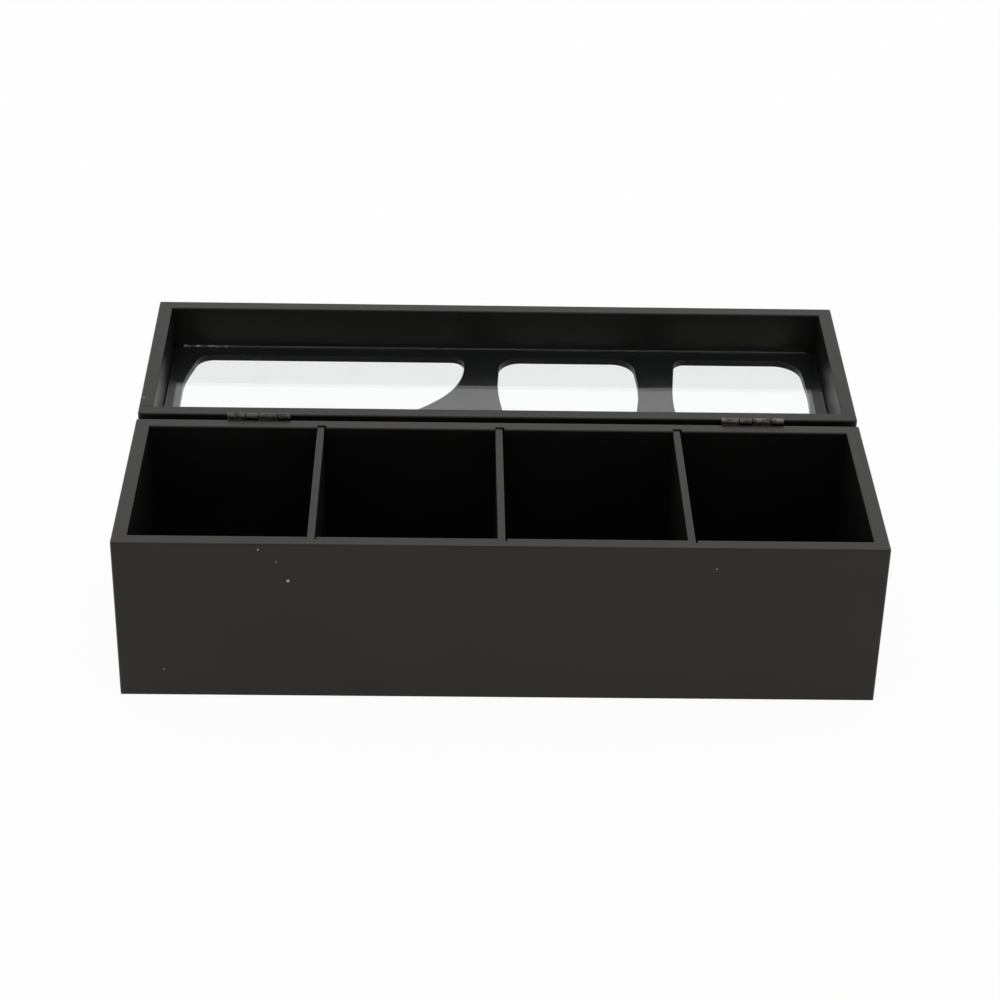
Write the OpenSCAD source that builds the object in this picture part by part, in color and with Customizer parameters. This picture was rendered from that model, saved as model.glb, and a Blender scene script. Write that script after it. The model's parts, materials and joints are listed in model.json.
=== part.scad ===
// Hinged storage box with four compartments and a glazed lid.
// Millimetres. The origin is the centre of the underside, X runs along the width,
// +Y points to the hinged back, +Z up. The lid is drawn standing open behind the box.

/* [Box] */
// Outside width of the box and of its lid
box_w = 300; // [260:1:360]
// Outside depth, front to back, of the box and of its lid
box_d = 95; // [88:1:130]
// Height of the box without its lid
box_h = 71.6; // [60:0.2:110]
// Thickness of the wall boards
wall_t = 6; // [5:0.5:8]
// Thickness of the bottom panel
bottom_t = 3; // [2:0.5:4]
// Radius of the outer upright corners
corner_r = 1.2; // [0.8:0.1:2]
// Radius of the rims and of the other outer edges
edge_r = 0.6; // [0.3:0.1:0.8]

/* [Dividers] */
// Thickness of a divider
divider_t = 3; // [2:0.5:4]
// Depth of the groove that takes a divider's end
groove_depth = 2; // [1:0.25:2.5]
// Width that a groove has beyond the divider
groove_play = 0.7; // [0.2:0.1:1]
// How far the top of a divider lies below the rim
divider_drop = 0.5; // [0.2:0.1:3]

/* [Lid] */
// Height of the lid
lid_h = 24.5; // [20:0.5:40]
// Thickness of the window panel
window_panel_t = 3; // [2:0.5:4]
// Thickness of the glass pane
glass_t = 2; // [1.5:0.5:3]
// Gap between the two rims when the lid is shut
rim_gap = 0.3; // [0.2:0.05:0.5]

/* [Windows] */
// Distance of the outer windows from the inner faces of the side walls
window_side_margin = 7; // [4:0.5:12]
// Distance of the windows from the inner faces of the front and back walls
window_end_margin = 5.8; // [3.6:0.1:8]
// Width of the bars between the windows
window_bar_w = 14.8; // [10:0.2:20]
// How far the left bar's middle lies to the left of the middle divider
left_bar_shift = 6.9; // [0:0.1:10]
// How far the right bar's middle lies to the left of the right divider
right_bar_shift = 3.2; // [0:0.1:8]

/* [Hinges] */
// Distance of the left hinge's middle from the left end
hinge_left_inset = 50.6; // [30:0.2:80]
// Distance of the right hinge's middle from the right end
hinge_right_inset = 44.2; // [30:0.2:80]
// Length of a hinge along the rim
hinge_l = 26.2; // [22:0.2:40]
// Thickness of a hinge leaf
leaf_t = 0.8; // [0.6:0.1:1]
// Height of a hinge leaf, from the pin's axis to its free edge
leaf_h = 9; // [8:0.5:12]
// Outer radius of the knuckles
knuckle_r = 1.75; // [1.4:0.05:2]
// Length of a knuckle of the box's leaf; the lid's knuckles take up the rest
knuckle_l = 7.4; // [5:0.1:8]
// Radius of the hinge pin
pin_r = 0.75; // [0.5:0.05:0.9]
// Height of the pin's axis above the rim of the box
axis_rise = 0.2; // [0.1:0.05:0.2]

/* [Screws] */
// Radius of a screw's head
screw_head_r = 1.6; // [1.2:0.1:1.8]
// Radius of a screw's shank
screw_shank_r = 0.8; // [0.6:0.1:1]
// Distance between the two screws of a leaf
screw_pitch = 16; // [12:0.5:18]
// Distance of the screws from the pin's axis
screw_row = 5.2; // [4.5:0.1:6]
// Wood left behind the point of a screw
screw_skin = 1.3; // [0.8:0.1:2]

/* [Hidden] */

$fn = 64;

BLACK_PAINT = [0.19, 0.185, 0.18];
BLACK_METAL = [0.13, 0.13, 0.13];
CLEAR_GLASS = [0.85, 0.92, 0.90, 0.35];
CLEAR_GLUE = [0.80, 0.82, 0.82, 0.6];

// Angle to which the lid opens, counted from shut; the lid is drawn at this stop.
open_angle = 178.1;
lid_tilt = 180 - open_angle;

// Depth that cuts reach past a face, so that no skin is left.
past = 1;

inner_w = box_w - 2 * wall_t;
inner_d = box_d - 2 * wall_t;

// Each panel lies in a pocket that is half a wall wide all round.
pocket_lip = wall_t / 2;
pocket_r = 3;
panel_play = 0.1;

divider_count = 3;
divider_pitch = (box_w - wall_t) / (divider_count + 1);
divider_end_play = 0.2;

pane_play = 0.5;
pane_seat = 0.05;
pane_top = window_panel_t + pane_seat + glass_t;
window_x = inner_w / 2 - window_side_margin;
window_y = inner_d / 2 - window_end_margin;
left_bar_x = -left_bar_shift;
right_bar_x = divider_pitch - right_bar_shift;

// The pin's axis, and its distance from the back faces of the box and of the lid.
knuckle_play = 0.3;
axis_off = knuckle_r + knuckle_play;
axis_y = box_d / 2 + axis_off;
axis_z = box_h + axis_rise;

hinge_left_x = -box_w / 2 + hinge_left_inset;
hinge_right_x = box_w / 2 - hinge_right_inset;
knuckles_per_leaf = 2;
knuckle_pitch = hinge_l / knuckles_per_leaf;
knuckle_gap = 0.15;
knuckle_chamfer = 0.25;
leaf_notch = knuckle_r + 0.3;
leaf_corner_r = 1;
fixed_fit = 0.02;
running_fit = 0.05;
pin_end_play = 0.2;

// The raised heads of the two leaves meet, but for stop_gap, when the lid stands open.
stop_gap = 0.06;
screw_head_h = axis_off - leaf_t + (screw_row * sin(lid_tilt) - stop_gap) / 2;
screw_hole_play = 0.1;
screw_point_l = 1.4;
screw_bite = wall_t - screw_skin;
recess_w = 0.4;
recess_depth = 0.3;

glue_r = 0.6;
glue_end_inset = 4;

// ---- Outlines and cutters ----

// Rectangle centred on the origin with true arcs at its corners.
module rounded_rect(w, d, r) {
    square([w - 2 * r, d], center = true);
    square([w, d - 2 * r], center = true);
    for (x = [-1, 1], y = [-1, 1])
        translate([x * (w / 2 - r), y * (d / 2 - r)]) circle(r);
}

// Points of an outline given as corners [x, y, radius], each rounded by an arc.
function rounded_outline(corners, steps = 16) = [
    for (i = [0 : len(corners) - 1])
        let (
            count = len(corners),
            corner = [corners[i][0], corners[i][1]],
            radius = corners[i][2],
            before = corners[(i + count - 1) % count],
            after = corners[(i + 1) % count],
            back = unit([before[0], before[1]] - corner),
            ahead = unit([after[0], after[1]] - corner),
            half = acos(back * ahead) / 2,
            centre = corner + unit(back + ahead) * radius / sin(half),
            arc_start = corner + back * radius / tan(half) - centre,
            arc_end = corner + ahead * radius / tan(half) - centre
        )
        for (k = [0 : steps])
            centre + radius * unit(arc_start * sin((1 - k / steps) * (180 - 2 * half))
                                   + arc_end * sin(k / steps * (180 - 2 * half)))
];
function unit(v) = v / norm(v);

// Removes what lies outside the radius on an edge that runs along X through the origin,
// where the solid is on the -Y and -Z side.
module edge_cutter(length, r) {
    difference() {
        translate([-length / 2, -r, -r]) cube([length, r + past, r + past]);
        translate([-length / 2 - past, -r, -r]) rotate([0, 90, 0])
            cylinder(r = r, h = length + 2 * past);
    }
}

// ---- Trays: the box and the lid are both four boards round a pocketed panel, rim up ----

// Outer form of a tray with its edges rounded.
module tray_form(h) {
    intersection() {
        linear_extrude(h) rounded_rect(box_w, box_d, corner_r);
        translate([-box_w / 2, 0, h / 2]) rotate([90, 0, 90])
            linear_extrude(box_w) rounded_rect(box_d, h, edge_r);
        translate([0, box_d / 2, h / 2]) rotate([90, 0, 0])
            linear_extrude(box_d) rounded_rect(box_w, h, edge_r);
    }
}

// Pocket in the underside of a tray's walls, or with play taken off, the panel in it.
module pocket_form(t, play = 0) {
    linear_extrude(t)
        rounded_rect(inner_w + 2 * (pocket_lip - play), inner_d + 2 * (pocket_lip - play),
                     pocket_r - play);
}

// Long board on the -Y side, as wide as the tray.
module long_board(h, panel_t) {
    difference() {
        intersection() {
            tray_form(h);
            translate([-box_w / 2, -box_d / 2, 0]) cube([box_w, wall_t, h]);
        }
        translate([0, -inner_d / 2, h]) edge_cutter(inner_w, edge_r);
        translate([0, 0, -past]) pocket_form(panel_t + past);
    }
}

// Short board on the -X side, between the long boards.
module short_board(h, panel_t) {
    difference() {
        intersection() {
            tray_form(h);
            translate([-box_w / 2, -inner_d / 2, 0]) cube([wall_t, inner_d, h]);
        }
        translate([-inner_w / 2, 0, h]) rotate([0, 0, -90])
            edge_cutter(inner_d + 2 * past, edge_r);
        translate([0, 0, -past]) pocket_form(panel_t + past);
    }
}

// ---- Box ----

module divider_grooves() {
    for (i = [-1 : 1])
        translate([i * divider_pitch - divider_t / 2, -inner_d / 2 - groove_depth, bottom_t])
            cube([divider_t + groove_play, groove_depth + past, box_h]);
}

module front_wall() {
    color(BLACK_PAINT) difference() {
        long_board(box_h, bottom_t);
        divider_grooves();
    }
}

module back_wall() {
    color(BLACK_PAINT) difference() {
        mirror([0, 1, 0]) difference() {
            long_board(box_h, bottom_t);
            divider_grooves();
        }
        at_axis() at_hinges() screw_holes();
    }
}

module left_wall() {
    color(BLACK_PAINT) short_board(box_h, bottom_t);
}

module right_wall() {
    color(BLACK_PAINT) mirror([1, 0, 0]) short_board(box_h, bottom_t);
}

module bottom_panel() {
    color(BLACK_PAINT) pocket_form(bottom_t, panel_play);
}

module divider(i) {
    depth = inner_d + 2 * (groove_depth - divider_end_play);
    height = box_h - divider_drop - bottom_t;
    color(BLACK_PAINT)
        translate([i * divider_pitch, depth / 2, bottom_t + height / 2]) rotate([90, 0, 0])
            linear_extrude(depth) rounded_rect(divider_t, height, edge_r / 2);
}

module divider_left() { divider(-1); }
module divider_middle() { divider(0); }
module divider_right() { divider(1); }

// ---- Hinges, drawn about the pin's axis ----

module at_axis() {
    translate([0, axis_y, axis_z]) children();
}

module at_hinges() {
    for (x = [hinge_left_x, hinge_right_x]) translate([x, 0, 0]) children();
}

// Knuckle along Z with chamfered ends, and the strip that joins it to its leaf, in whose
// plane X points away from the wall and Y up.
module knuckle(length) {
    c = knuckle_chamfer;
    rotate_extrude()
        polygon([[0, 0], [knuckle_r - c, 0], [knuckle_r, c],
                 [knuckle_r, length - c], [knuckle_r - c, length], [0, length]]);
    strip_l = leaf_notch + leaf_corner_r;
    linear_extrude(length)
        polygon([[-axis_off, -strip_l], [leaf_t - axis_off, -strip_l], [leaf_t - axis_off, 0],
                 [-knuckle_r, 0], [-axis_off, -knuckle_play]]);
}

// Leaf that lies on the back face of the box, with its first knuckle at start.
module leaf(start, length, bore_fit) {
    difference() {
        union() {
            translate([0, -axis_off + leaf_t, -(leaf_h + leaf_notch) / 2]) rotate([90, 0, 0])
                linear_extrude(leaf_t) rounded_rect(hinge_l, leaf_h - leaf_notch, leaf_corner_r);
            for (i = [0 : knuckles_per_leaf - 1])
                translate([start + i * knuckle_pitch - hinge_l / 2, 0, 0]) rotate([90, 0, 90])
                    knuckle(length);
        }
        translate([-hinge_l, 0, 0]) rotate([0, 90, 0])
            cylinder(r = pin_r + bore_fit, h = 2 * hinge_l);
        screw_holes();
    }
}

module box_leaf() {
    color(BLACK_METAL) leaf(0, knuckle_l, fixed_fit);
}

module lid_leaf() {
    color(BLACK_METAL) rotate([lid_tilt, 0, 0]) mirror([0, 1, 0])
        leaf(knuckle_l + knuckle_gap, knuckle_pitch - knuckle_l - 2 * knuckle_gap, running_fit);
}

module pin() {
    length = hinge_l - 2 * pin_end_play;
    color(BLACK_METAL) translate([-length / 2, 0, 0]) rotate([0, 90, 0])
        cylinder(r = pin_r, h = length);
}

module hinge_left_box_leaf() { at_axis() translate([hinge_left_x, 0, 0]) box_leaf(); }
module hinge_right_box_leaf() { at_axis() translate([hinge_right_x, 0, 0]) box_leaf(); }
module hinge_left_lid_leaf() { at_axis() translate([hinge_left_x, 0, 0]) lid_leaf(); }
module hinge_right_lid_leaf() { at_axis() translate([hinge_right_x, 0, 0]) lid_leaf(); }
module hinge_left_pin() { at_axis() translate([hinge_left_x, 0, 0]) pin(); }
module hinge_right_pin() { at_axis() translate([hinge_right_x, 0, 0]) pin(); }

// ---- Screws, drawn about the pin's axis, with their heads towards +Y ----

// Places children at the two screws of a leaf, on the face of the wall.
module at_screws() {
    for (x = [-1, 1])
        translate([x * screw_pitch / 2, -axis_off, -screw_row]) rotate([-90, 0, 0]) children();
}

// Holes for the shanks, through the leaf and into the wall.
module screw_holes() {
    at_screws() {
        cylinder(r = screw_shank_r + screw_hole_play, h = leaf_t + past);
        translate([0, 0, -screw_bite - panel_play])
            cylinder(r = screw_shank_r + fixed_fit, h = screw_bite + past);
    }
}

// Raised head as a cap of a sphere, with a cross recess.
module screw_head() {
    dome_r = (screw_head_r * screw_head_r + screw_head_h * screw_head_h) / (2 * screw_head_h);
    difference() {
        intersection() {
            translate([0, 0, screw_head_h - dome_r]) sphere(dome_r);
            cylinder(r = screw_head_r, h = screw_head_h);
        }
        for (a = [0, 90])
            rotate([0, 0, a]) translate([0, 0, screw_head_h])
                cube([1.2 * screw_head_r, recess_w, 2 * recess_depth], center = true);
    }
}

module screw() {
    translate([0, 0, leaf_t]) screw_head();
    translate([0, 0, screw_point_l - screw_bite])
        cylinder(r = screw_shank_r, h = screw_bite - screw_point_l + leaf_t);
    translate([0, 0, -screw_bite])
        cylinder(r1 = screw_shank_r / 4, r2 = screw_shank_r, h = screw_point_l);
}

module box_hinge_screws() {
    color(BLACK_METAL) at_axis() at_hinges() at_screws() screw();
}

module lid_hinge_screws() {
    color(BLACK_METAL) at_axis() at_hinges() rotate([lid_tilt, 0, 0]) mirror([0, 1, 0])
        at_screws() screw();
}

// ---- Lid, drawn rim up like the box and placed at its stop ----

module place_lid() {
    at_axis() rotate([lid_tilt, 0, 0])
        translate([0, axis_off + box_d / 2, -(rim_gap - axis_rise) - lid_h]) children();
}

module lid_front_wall() {
    color(BLACK_PAINT) place_lid() mirror([0, 1, 0]) long_board(lid_h, window_panel_t);
}

module lid_back_wall() {
    color(BLACK_PAINT) difference() {
        place_lid() long_board(lid_h, window_panel_t);
        at_axis() at_hinges() rotate([lid_tilt, 0, 0]) mirror([0, 1, 0]) screw_holes();
    }
}

module lid_left_wall() {
    color(BLACK_PAINT) place_lid() short_board(lid_h, window_panel_t);
}

module lid_right_wall() {
    color(BLACK_PAINT) place_lid() mirror([1, 0, 0]) short_board(lid_h, window_panel_t);
}

// Window outlines as corners [x, y, radius]. The hinge is on the -Y side. A window's sides
// bulge, so a corner between two far ends lies a little outside the window's edge.

// Long window: its left side bulges evenly, and its right side sweeps in towards the hinge.
function long_window(x0, x1, y) = [
    [x0 + 5.3, y, 8], [x0 - 0.4, y - 21.4, 60], [x0 - 0.4, 21.4 - y, 60], [x0 + 5.3, -y, 10],
    [x1 - 70, -y, 110], [x1 - 20, 25.7 - y, 60], [x1 + 0.2, y - 24.9, 42], [x1 + 0.2, y, 6]
];

// Middle window: widest in its front half, and narrower towards the hinge.
function middle_window(x0, x1, y) = [
    [x0 + 1.3, y, 10], [x0 - 0.2, y - 29.2, 110], [x0 + 5.8, -y, 9],
    [x1 - 5.5, -y, 9], [x1 + 0.1, y - 27.2, 110], [x1 - 1.9, y, 10]
];

// Right window: widest at its middle.
function right_window(x0, x1, y) = [
    [x0 + 2.3, y, 5], [x0 - 0.9, 0, 120], [x0 + 2.3, -y, 9],
    [x1 - 3, -y, 9], [x1 + 0.4, y - 31.2, 110], [x1 - 1.5, y, 12]
];

module lid_window_panel() {
    bar = window_bar_w / 2;
    outlines = [
        long_window(-window_x, left_bar_x - bar, window_y),
        middle_window(left_bar_x + bar, right_bar_x - bar, window_y),
        right_window(right_bar_x + bar, window_x, window_y)
    ];
    color(BLACK_PAINT) place_lid() difference() {
        pocket_form(window_panel_t, panel_play);
        for (outline = outlines)
            translate([0, 0, -past]) linear_extrude(window_panel_t + 2 * past)
                polygon(rounded_outline(outline));
    }
}

module lid_glass_pane() {
    color(CLEAR_GLASS) place_lid() translate([0, 0, pane_top - glass_t / 2])
        cube([inner_w - 2 * pane_play, inner_d - 2 * pane_play, glass_t], center = true);
}

// Bead of glue in the corner between the pane and a long wall, with rounded ends.
module glue_bead() {
    length = inner_w - 2 * (glue_end_inset + glue_r);
    intersection() {
        union() {
            rotate([0, 90, 0]) cylinder(r = glue_r, h = length, center = true);
            for (x = [-1, 1]) translate([x * length / 2, 0, 0]) sphere(glue_r);
        }
        translate([-inner_w / 2, 0, 0]) cube([inner_w, 2 * glue_r, 2 * glue_r]);
    }
}

module pane_glue() {
    color(CLEAR_GLUE) place_lid() translate([0, 0, pane_top])
        for (side = [0, 1])
            mirror([0, side, 0]) translate([0, -inner_d / 2, 0]) glue_bead();
}

front_wall();
back_wall();
left_wall();
right_wall();
bottom_panel();
divider_left();
divider_middle();
divider_right();
hinge_left_box_leaf();
hinge_right_box_leaf();
hinge_left_pin();
hinge_right_pin();
box_hinge_screws();
lid_front_wall();
lid_back_wall();
lid_left_wall();
lid_right_wall();
lid_window_panel();
lid_glass_pane();
pane_glue();
hinge_left_lid_leaf();
hinge_right_lid_leaf();
lid_hinge_screws();
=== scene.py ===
import json
import math

import bpy
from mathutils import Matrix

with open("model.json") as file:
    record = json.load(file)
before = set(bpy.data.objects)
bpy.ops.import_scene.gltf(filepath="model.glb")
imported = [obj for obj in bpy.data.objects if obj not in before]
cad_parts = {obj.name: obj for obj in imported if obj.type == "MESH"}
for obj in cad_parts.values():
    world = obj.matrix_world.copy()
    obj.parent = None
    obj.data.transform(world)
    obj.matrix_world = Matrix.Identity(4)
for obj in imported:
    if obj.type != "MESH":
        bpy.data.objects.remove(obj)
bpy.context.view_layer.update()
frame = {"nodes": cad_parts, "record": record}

MM = 0.001
nodes = frame["nodes"]


# ---- Camera ----

LENS_MM = 91.2
SENSOR_MM = 36
CAMERA_AT = (-0.0219, -0.8631, 0.5981)
PITCH_DOWN = math.radians(31.789)
YAW = math.radians(-1.239)
ROLL = math.radians(0.579)


def make_camera():
    data = bpy.data.cameras.new("camera")
    data.lens = LENS_MM
    data.sensor_width = SENSOR_MM
    camera = bpy.data.objects.new("camera", data)
    camera.location = CAMERA_AT
    camera.rotation_mode = "ZYX"
    camera.rotation_euler = (math.pi / 2 - PITCH_DOWN, YAW, ROLL)
    bpy.context.scene.collection.objects.link(camera)
    bpy.context.scene.camera = camera


# ---- Node helpers: each returns a node, or the output socket that the next one takes ----

# Range that Blender's noise mostly keeps to.
NOISE_BAND = (0.35, 0.65)
# Cosine between a face's normal and its rounded one, from flat faces to edges.
FLAT_TO_EDGE = (0.995, 0.9)
EDGE_SAMPLES = 6


def new_material(name):
    material = bpy.data.materials.new(name)
    material.use_nodes = True
    tree = material.node_tree
    tree.nodes.clear()
    return material, tree


def add(tree, kind, **values):
    """A new node with fixed values on its sockets, whose names have _ for a space."""
    node = tree.nodes.new(kind)
    for name, value in values.items():
        node.inputs[name.replace("_", " ")].default_value = value
    return node


def link(tree, node, **outputs):
    """Links outputs to a node's sockets, which are named as in add."""
    for name, output in outputs.items():
        tree.links.new(output, node.inputs[name.replace("_", " ")])


def math_node(tree, operation, first, second):
    node = tree.nodes.new("ShaderNodeMath")
    node.operation = operation
    for socket, value in zip(node.inputs, (first, second)):
        if isinstance(value, (int, float)):
            socket.default_value = value
        else:
            tree.links.new(value, socket)
    return node.outputs[0]


def inverse(tree, share):
    return math_node(tree, "SUBTRACT", 1, share)


def fit(tree, value, band, to=(0, 1)):
    """value, moved from the range band to the range to, and kept in it."""
    node = tree.nodes.new("ShaderNodeMapRange")
    for name, number in zip(("From Min", "From Max", "To Min", "To Max"), (*band, *to)):
        node.inputs[name].default_value = number
    tree.links.new(value, node.inputs["Value"])
    return node.outputs[0]


def component(tree, vector, axis):
    split = tree.nodes.new("ShaderNodeSeparateXYZ")
    tree.links.new(vector, split.inputs[0])
    return split.outputs[axis]


def object_place(tree):
    return tree.nodes.new("ShaderNodeTexCoord").outputs["Object"]


def along_axis(tree, axis, low_mm, high_mm):
    """0 up to low_mm along an axis, and 1 from high_mm on."""
    return fit(tree, component(tree, object_place(tree), axis), (low_mm * MM, high_mm * MM))


def noise(tree, size_mm, detail):
    """Smooth noise whose patches are size_mm across."""
    node = add(tree, "ShaderNodeTexNoise", Scale=1 / (size_mm * MM), Detail=detail)
    tree.links.new(object_place(tree), node.inputs["Vector"])
    return node.outputs[0]


def patches(tree, size_mm, detail, band=NOISE_BAND, to=(0, 1)):
    """Patches of size_mm, where band of the noise becomes the range to."""
    return fit(tree, noise(tree, size_mm, detail), band, to)


def blend_colours(tree, share, first, second):
    """first where share is 0 and second where it is 1; each is a colour or a socket."""
    node = tree.nodes.new("ShaderNodeMix")
    node.data_type = "RGBA"
    tree.links.new(share, node.inputs["Factor"])
    sockets = [socket for socket in node.inputs if socket.type == "RGBA"]
    for socket, colour in zip(sockets, (first, second)):
        if isinstance(colour, tuple):
            socket.default_value = (*colour, 1)
        else:
            tree.links.new(colour, socket)
    return next(socket for socket in node.outputs if socket.type == "RGBA")


def edges(tree, radius_mm):
    """1 along edges and corners that are sharper than radius_mm, and 0 on flat faces."""
    rounded = add(tree, "ShaderNodeBevel", Radius=radius_mm * MM)
    rounded.samples = EDGE_SAMPLES
    geometry = tree.nodes.new("ShaderNodeNewGeometry")
    dot = tree.nodes.new("ShaderNodeVectorMath")
    dot.operation = "DOT_PRODUCT"
    tree.links.new(rounded.outputs["Normal"], dot.inputs[0])
    tree.links.new(geometry.outputs["Normal"], dot.inputs[1])
    return fit(tree, dot.outputs["Value"], FLAT_TO_EDGE)


def bump(tree, height, depth_mm):
    """Normal of a surface that height, from 0 to 1, raises by up to depth_mm."""
    node = add(tree, "ShaderNodeBump", Strength=1.0, Distance=depth_mm * MM)
    tree.links.new(height, node.inputs["Height"])
    return node.outputs["Normal"]


def finish_material(tree, shader):
    out = tree.nodes.new("ShaderNodeOutputMaterial")
    tree.links.new(shader.outputs[0], out.inputs["Surface"])


# ---- Studio ----

FLOOR_SIZE = 8.0
FLOOR_BELOW = 0.05 * MM
FLOOR_TONE = 0.8
# Share of the floor's own shading that straight views of it keep, and that mirrored ones keep
# before the box and behind it. The two mirrored ones change over between two Y, in mm.
STRAIGHT_SHADE = 0.05
SHADE_BEFORE = 0.35
SHADE_BEHIND = 0.85
CHANGE_OVER_Y = (-30, 40)
MIRRORED_TONE = 0.92
# The studio's light comes mostly from behind the object. It falls to LIGHT_BEFORE towards the
# front, between these two values of a direction's Y.
LIGHT_BEFORE = 0.55
DARKER_TOWARDS = (-0.6, 0)


def shaded_white(tree, shade, tone=1.0):
    """The tone where the floor lies open, and darker by shade times the object's shadow."""
    lit = add(tree, "ShaderNodeBsdfDiffuse", Color=(shade * tone, shade * tone, shade * tone, 1))
    glow = add(tree, "ShaderNodeEmission", Color=(1, 1, 1, 1), Strength=(1 - shade) * tone)
    both = tree.nodes.new("ShaderNodeAddShader")
    tree.links.new(lit.outputs[0], both.inputs[0])
    tree.links.new(glow.outputs[0], both.inputs[1])
    return both


def mix_shaders(tree, share, first, second):
    mix = tree.nodes.new("ShaderNodeMixShader")
    tree.links.new(share, mix.inputs[0])
    tree.links.new(first.outputs[0], mix.inputs[1])
    tree.links.new(second.outputs[0], mix.inputs[2])
    return mix


def make_floor_material():
    """White to the camera, through glass and in gloss, and plain to the light that falls on it."""
    material, tree = new_material("floor_white")
    path = tree.nodes.new("ShaderNodeLightPath").outputs
    seen = math_node(tree, "MAXIMUM", path["Is Camera Ray"], path["Is Transmission Ray"])
    shown = math_node(tree, "MAXIMUM", seen, path["Is Glossy Ray"])
    mirrored = math_node(tree, "GREATER_THAN", path["Glossy Depth"], 0.5)
    reflection = mix_shaders(tree, along_axis(tree, "Y", *CHANGE_OVER_Y),
                             shaded_white(tree, SHADE_BEFORE, MIRRORED_TONE),
                             shaded_white(tree, SHADE_BEHIND, MIRRORED_TONE))
    white = mix_shaders(tree, mirrored, shaded_white(tree, STRAIGHT_SHADE), reflection)
    plain = add(tree, "ShaderNodeBsdfDiffuse", Color=(FLOOR_TONE, FLOOR_TONE, FLOOR_TONE, 1))
    finish_material(tree, mix_shaders(tree, shown, plain, white))
    return material


def make_floor():
    bpy.ops.mesh.primitive_plane_add(size=FLOOR_SIZE, location=(0, 0, -FLOOR_BELOW))
    floor = bpy.context.object
    floor.name = "floor"
    floor.data.materials.append(make_floor_material())


def make_world():
    world = bpy.data.worlds.new("studio")
    bpy.context.scene.world = world
    world.use_nodes = True
    tree = world.node_tree
    background = tree.nodes["Background"]
    background.inputs["Color"].default_value = (1, 1, 1, 1)
    direction = tree.nodes.new("ShaderNodeTexCoord").outputs["Generated"]
    light = fit(tree, component(tree, direction, "Y"), DARKER_TOWARDS, (LIGHT_BEFORE, 1))
    seen = tree.nodes.new("ShaderNodeLightPath").outputs["Is Camera Ray"]
    link(tree, background, Strength=math_node(tree, "MAXIMUM", light, seen))


# ---- Black paint ----

PAINT_TONES = ((0.0058, 0.0058, 0.0057), (0.0082, 0.0080, 0.0077))
WORN_PAINT = (0.020, 0.016, 0.013)
WORN_ROUGHER = 0.15
DUST = (0.05, 0.048, 0.045)
FLECK = (0.50, 0.48, 0.45)
# Roughness of the grain, and what the smears add.
PAINT_GRAIN = (0.29, 0.34)
PAINT_SMEARS = (0, 0.03)

# Flecks in the paint, most of them on the front wall: x, y, z and radius in mm.
FLECKS = ((-82.3, -47.5, 54.9, 0.75), (-93.4, -47.5, 69.2, 0.4), (-86.6, -47.5, 63.6, 0.35),
          (-132.1, -47.5, 12.6, 0.35), (83.2, -47.5, 62.2, 0.35), (-148.5, 64.4, 72.2, 0.35))
# Share of a fleck's radius up to which it is full.
FLECK_CORE = 0.6
# How far the flecks' outlines wobble, and in patches of what size, in mm.
FLECK_WOBBLE = 0.5
WOBBLE_SIZE = 0.7

# Place, width and far end of the crack in the paint, and how its sides and its end fade, in mm.
CRACK_Y = 57.6
CRACK_WIDTH = 0.4
CRACK_END_X = -144
CRACK_SIDE_FADE = 0.05
CRACK_END_FADE = 0.3


def flecks(tree):
    """1 in the named flecks, whose outlines wobble, and 0 elsewhere."""
    wobble = add(tree, "ShaderNodeTexNoise", Scale=1 / (WOBBLE_SIZE * MM), Detail=1.0)
    place = object_place(tree)
    tree.links.new(place, wobble.inputs["Vector"])
    moved = tree.nodes.new("ShaderNodeVectorMath")
    moved.operation = "MULTIPLY_ADD"
    tree.links.new(wobble.outputs["Color"], moved.inputs[0])
    moved.inputs[1].default_value = [2 * FLECK_WOBBLE * MM] * 3
    tree.links.new(place, moved.inputs[2])
    total = None
    for *centre, radius in FLECKS:
        apart = tree.nodes.new("ShaderNodeVectorMath")
        apart.operation = "DISTANCE"
        tree.links.new(moved.outputs[0], apart.inputs[0])
        apart.inputs[1].default_value = [(value + FLECK_WOBBLE) * MM for value in centre]
        spot = fit(tree, apart.outputs["Value"], (FLECK_CORE * radius * MM, radius * MM), (1, 0))
        total = spot if total is None else math_node(tree, "MAXIMUM", total, spot)
    return total


def dust(tree, cell_mm, radius_mm):
    """0 to 1 in fine grains strewn at random, one in every other cell of cell_mm."""
    cells = add(tree, "ShaderNodeTexVoronoi", Scale=1 / (cell_mm * MM))
    tree.links.new(object_place(tree), cells.inputs["Vector"])
    size = radius_mm / cell_mm
    grain = fit(tree, cells.outputs["Distance"], (0.5 * size, size), (1, 0))
    strength = fit(tree, cells.outputs["Color"], (0.5, 1))
    return math_node(tree, "MULTIPLY", grain, strength)


def crack(tree):
    """1 in the crack in the paint over the near joint of the lid's left board, and 0 elsewhere."""
    near, far = CRACK_Y - CRACK_WIDTH / 2, CRACK_Y + CRACK_WIDTH / 2
    across = math_node(tree, "SUBTRACT", along_axis(tree, "Y", near - CRACK_SIDE_FADE, near),
                       along_axis(tree, "Y", far, far + CRACK_SIDE_FADE))
    beyond = along_axis(tree, "X", CRACK_END_X - CRACK_END_FADE, CRACK_END_X)
    return math_node(tree, "MULTIPLY", across, inverse(tree, beyond))


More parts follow.
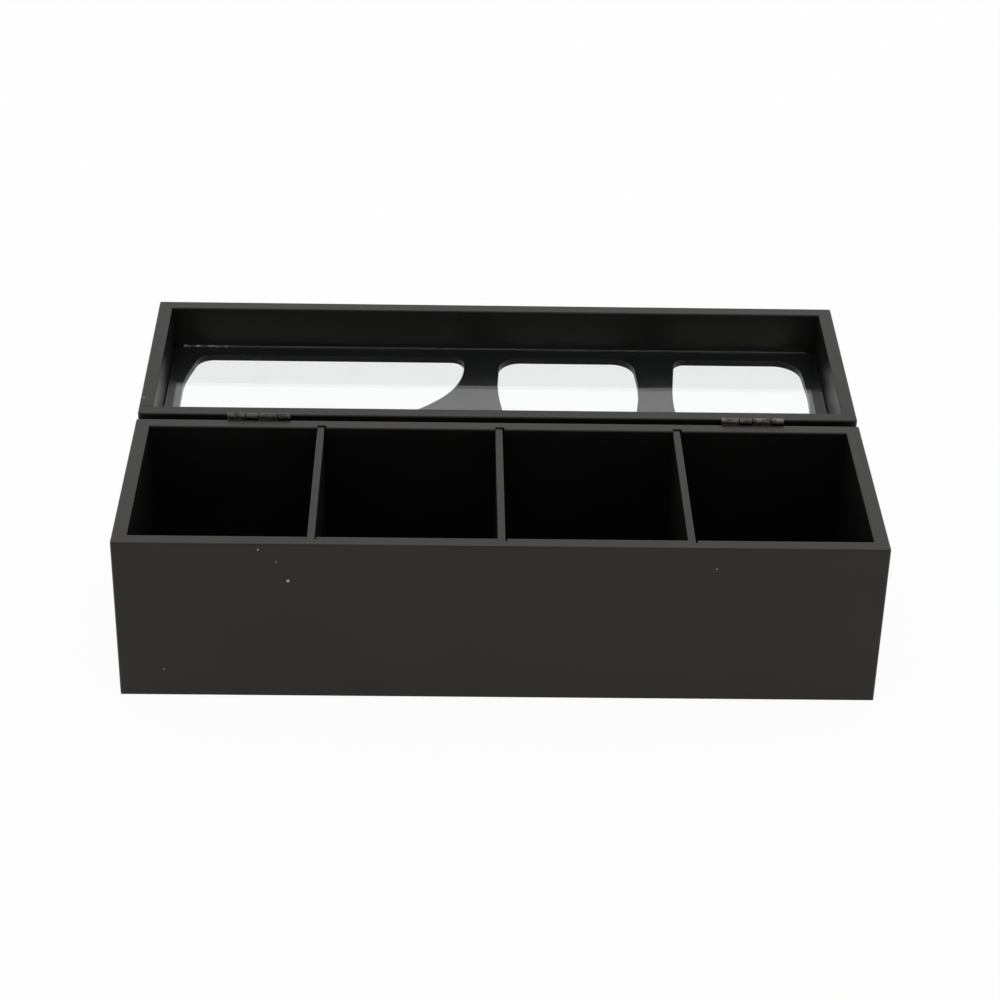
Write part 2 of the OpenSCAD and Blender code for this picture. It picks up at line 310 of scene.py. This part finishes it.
def black_paint():
    """Satin black lacquer on fibreboard."""
    material, tree = new_material("black_paint")
    worn = math_node(tree, "MULTIPLY", edges(tree, 0.5), patches(tree, 4, 4, band=(0.5, 0.7)))
    colour = blend_colours(tree, patches(tree, 30, 3), *PAINT_TONES)
    colour = blend_colours(tree, worn, colour, WORN_PAINT)
    colour = blend_colours(tree, dust(tree, 4, 0.2), colour, DUST)
    colour = blend_colours(tree, flecks(tree), colour, FLECK)
    film = math_node(tree, "ADD", patches(tree, 0.8, 2, to=PAINT_GRAIN),
                     patches(tree, 18, 4, to=PAINT_SMEARS))
    roughness = math_node(tree, "ADD", film, math_node(tree, "MULTIPLY", worn, WORN_ROUGHER))
    roughness = math_node(tree, "MAXIMUM", roughness, crack(tree))
    peel = math_node(tree, "ADD", noise(tree, 1.4, 1), math_node(tree, "MULTIPLY", noise(tree, 9, 1), 3))

    shader = add(tree, "ShaderNodeBsdfPrincipled", IOR=1.425, Specular_Tint=(1, 0.945, 0.90, 1))
    link(tree, shader, Base_Color=colour, Roughness=roughness, Normal=bump(tree, peel, 0.008))
    finish_material(tree, shader)
    return material


# ---- Black metal ----

BLACKENED = ((0.014, 0.014, 0.014), (0.035, 0.034, 0.033))
# Colour of the rubbed edges, and of the barrel tops, where it is also painted highlight.
RUBBED_AND_HIGHLIT = (0.22, 0.199, 0.181)
RUBBED_ROUGHER = 0.1
METAL_ROUGHNESS = (0.29, 0.36)
# Heights between which the tops of the barrels begin, which are made lighter as wear and painted highlight,
# and the two hinges' places, in mm.
BARREL_TOPS_Z = (72.4, 73.1)
HINGES_X = (-80, 80)
# How far the tops of the left and the right hinge are rubbed bare and lightened as painted highlight.
TOP_WEAR_AND_HIGHLIGHT = (0.6, 0.9)


def black_metal():
    """Blackened metal, rubbed bare on its edges; the tops of the barrels are lighter as wear and painted
    highlight, most of all at the right hinge.
    """
    material, tree = new_material("black_metal")
    worn_and_highlit_tops = math_node(tree, "MULTIPLY", along_axis(tree, "Z", *BARREL_TOPS_Z),
                        fit(tree, along_axis(tree, "X", *HINGES_X), (0, 1), TOP_WEAR_AND_HIGHLIGHT))
    # Lighter barrel tops: part wear, part painted highlight.
    tops_worn_and_highlit = math_node(tree, "MULTIPLY", worn_and_highlit_tops, patches(tree, 3.2, 3, band=(0.40, 0.66), to=(0.2, 1)))
    on_edges = math_node(tree, "MULTIPLY", edges(tree, 0.2),
                         patches(tree, 1.2, 3, band=(0.48, 0.64), to=(0, 0.35)))
    rubbed_and_highlit = math_node(tree, "MAXIMUM", tops_worn_and_highlit, on_edges)
    black = blend_colours(tree, patches(tree, 1.8, 2, band=(0.4, 0.6)), *BLACKENED)
    colour = blend_colours(tree, rubbed_and_highlit, black, RUBBED_AND_HIGHLIT)
    roughness = math_node(tree, "ADD", patches(tree, 0.6, 3, to=METAL_ROUGHNESS),
                          math_node(tree, "MULTIPLY", rubbed_and_highlit, RUBBED_ROUGHER))

    shader = add(tree, "ShaderNodeBsdfPrincipled", Metallic=1.0)
    link(tree, shader, Base_Color=colour, Roughness=roughness, Normal=bump(tree, noise(tree, 0.5, 2), 0.02))
    finish_material(tree, shader)
    return material


# ---- Clear glass ----

GLASS = (0.976, 0.993, 0.986)
SMEARED_GLASS = (0.962, 0.979, 0.972)
# Dark colour of the cut edges: painted shade where the black wall shows through the glue.
CUT_EDGE_SHADE = (0.010, 0.016, 0.018)
CUT_ROUGHNESS = 0.3
# Z of a normal, either way up, from upright faces to level ones.
UPRIGHT_TO_LEVEL = (0.3, 0.6)


def upright(tree):
    """1 on a part's upright faces, and 0 on its level ones."""
    normal = tree.nodes.new("ShaderNodeTexCoord").outputs["Normal"]
    height = math_node(tree, "ABSOLUTE", component(tree, normal, "Z"), 0)
    return fit(tree, height, UPRIGHT_TO_LEVEL, (1, 0))


def clear_glass():
    """Float glass with faint smears; its cut edges are bedded in glue, and are coloured dark and made
    opaque as painted shade.
    """
    material, tree = new_material("clear_glass")
    cut = upright(tree)
    colour = blend_colours(tree, patches(tree, 14, 4, band=(0.5, 0.7)), GLASS, SMEARED_GLASS)
    # The cut edges get painted shade.
    colour = blend_colours(tree, cut, colour, CUT_EDGE_SHADE)
    roughness = math_node(tree, "MULTIPLY", cut, CUT_ROUGHNESS)

    shader = add(tree, "ShaderNodeBsdfPrincipled", IOR=1.5,
                 Sheen_Weight=0.012, Sheen_Roughness=0.6, Sheen_Tint=(0.5, 0.72, 1, 1))
    link(tree, shader, Base_Color=colour, Roughness=roughness, Transmission_Weight=inverse(tree, cut))
    finish_material(tree, shader)
    return material


# ---- Clear glue ----

GLUE_TONES = ((0.55, 0.68, 0.80), (0.72, 0.80, 0.88))
GLUE_ROUGHNESS = (0.03, 0.15)
# Transmission from the clear glue to its milky lumps, which are painted glints, and where along X, in mm,
# these end.
CLEAR_TO_MILKY_GLINTS = (0.97, 0.5)
GLINT_LUMPS_END_X = (-124, -116)


def clear_glue():
    """Hot-melt glue, clear with milky lumps near its left end, which are painted glints."""
    material, tree = new_material("clear_glue")
    near_end = inverse(tree, along_axis(tree, "X", *GLINT_LUMPS_END_X))
    # Milky lumps near the left end: painted glints.
    glint_lumps = math_node(tree, "MULTIPLY", near_end, patches(tree, 2.6, 2, band=(0.48, 0.62)))

    shader = add(tree, "ShaderNodeBsdfPrincipled", IOR=1.45)
    link(tree, shader, Base_Color=blend_colours(tree, patches(tree, 3, 2, band=(0.4, 0.6)), *GLUE_TONES),
         Roughness=patches(tree, 2, 2, to=GLUE_ROUGHNESS),
         Transmission_Weight=fit(tree, glint_lumps, (0, 1), CLEAR_TO_MILKY_GLINTS),
         Normal=bump(tree, noise(tree, 2.2, 2), 0.3))
    finish_material(tree, shader)
    return material


# ---- Edges ----

# Width by which the tools or the grinding have broken each material's edges, in mm.
BROKEN_EDGE = {"black_paint": 0.15, "black_metal": 0.08, "clear_glass": 0.2}
SHARPEST_KEPT = math.radians(35)
WELD_WITHIN = 0.002 * MM
# The modifier's highest weight, at which a big face's normal outweighs its small neighbours'.
BIGGEST_FACE_FIRST = 100


def break_edges(piece, width_mm):
    """Breaks a piece's sharp edges and keeps its flat faces shaded flat."""
    weld = piece.modifiers.new("weld", "WELD")
    weld.merge_threshold = WELD_WITHIN
    bevel = piece.modifiers.new("broken_edges", "BEVEL")
    bevel.width = width_mm * MM
    bevel.segments = 2
    bevel.limit_method = "ANGLE"
    bevel.angle_limit = SHARPEST_KEPT
    flat_faces = piece.modifiers.new("flat_faces", "WEIGHTED_NORMAL")
    flat_faces.keep_sharp = True
    flat_faces.weight = BIGGEST_FACE_FIRST


def dress(part, materials):
    piece = nodes[part["node"]]
    slot = part["material_slot"]
    piece.data.materials.clear()
    piece.data.materials.append(materials[slot])
    if slot in BROKEN_EDGE:
        break_edges(piece, BROKEN_EDGE[slot])


make_camera()
make_world()
make_floor()

MATERIALS = {
    "black_paint": black_paint(),
    "black_metal": black_metal(),
    "clear_glass": clear_glass(),
    "clear_glue": clear_glue(),
}
for part in frame["record"]["subparts"]:
    dress(part, MATERIALS)

bpy.context.scene.view_settings.view_transform = "Standard"
